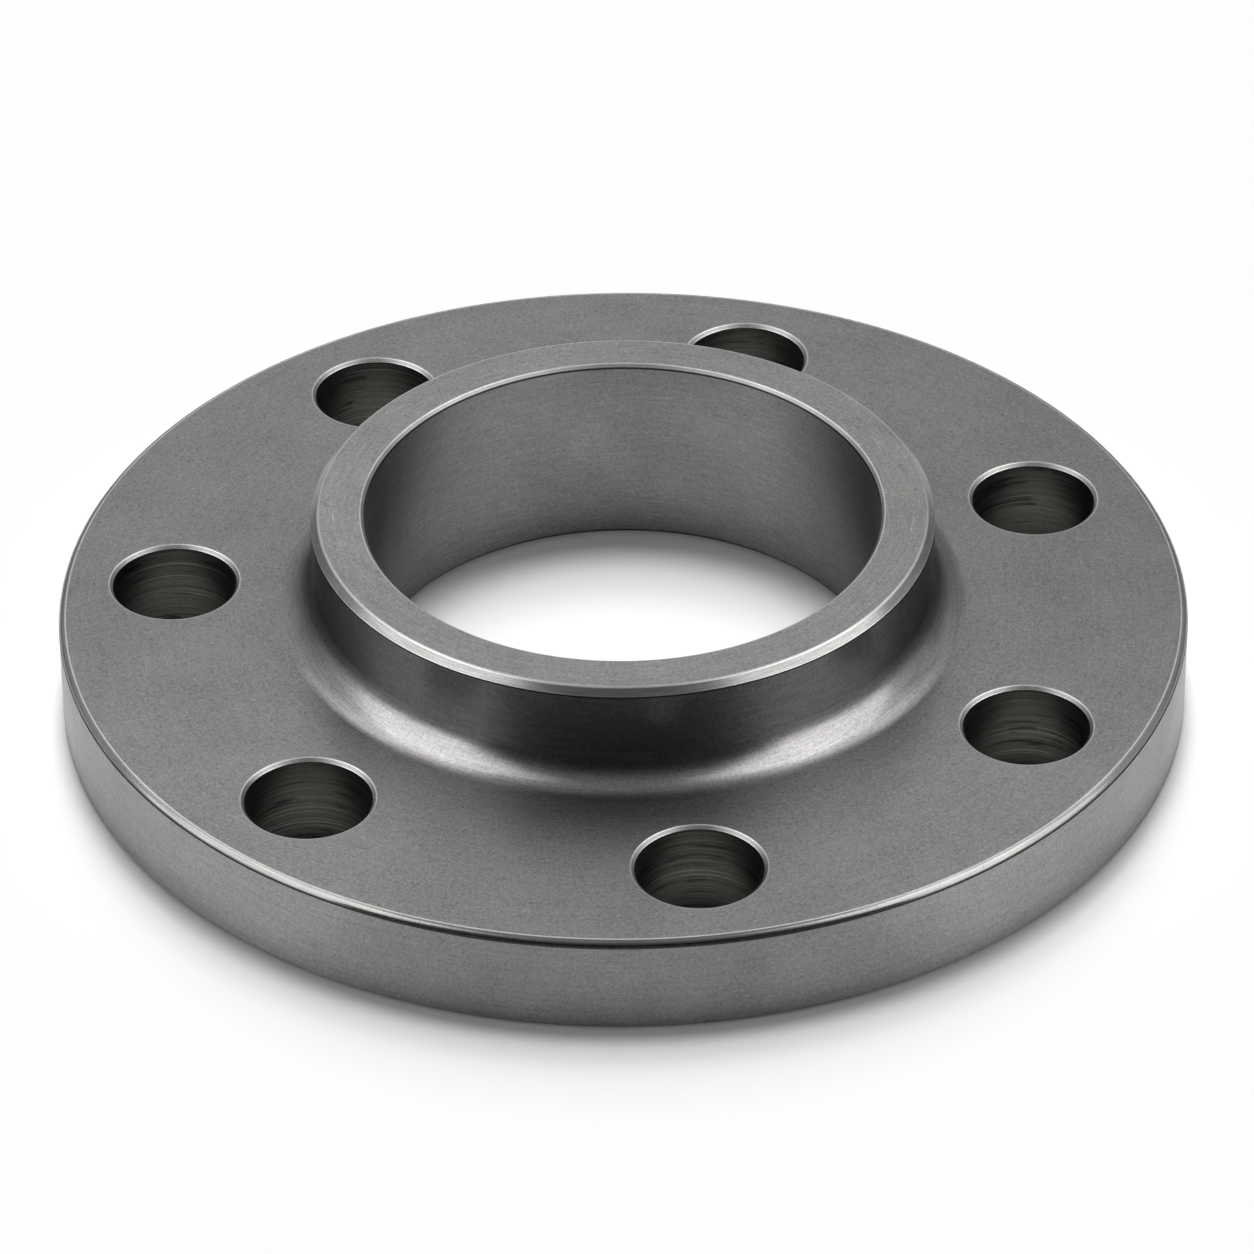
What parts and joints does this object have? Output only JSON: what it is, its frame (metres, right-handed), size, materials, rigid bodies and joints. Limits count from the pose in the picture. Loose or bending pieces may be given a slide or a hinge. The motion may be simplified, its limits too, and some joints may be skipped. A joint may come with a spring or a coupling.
{
  "type": "pipe flange",
  "caption": "Round steel slip-on pipe flange: thick disc with a circle of bolt holes and a raised hub round a straight central bore.",
  "frame": {"origin": "centre of the flat sealing face, on the bore's axis", "axes": "+Z along the bore's axis from the sealing face towards the hub, -Y through the middle of one bolt hole"},
  "size_m": [0.2, 0.2, 0.037],
  "materials": {
    "steel": "dark satin carbon steel, finely turned and blasted, bright on its chamfers and hub root"
  },
  "bodies": {
    "root": {"flange_body": "steel"}
  },
  "joints": []
}
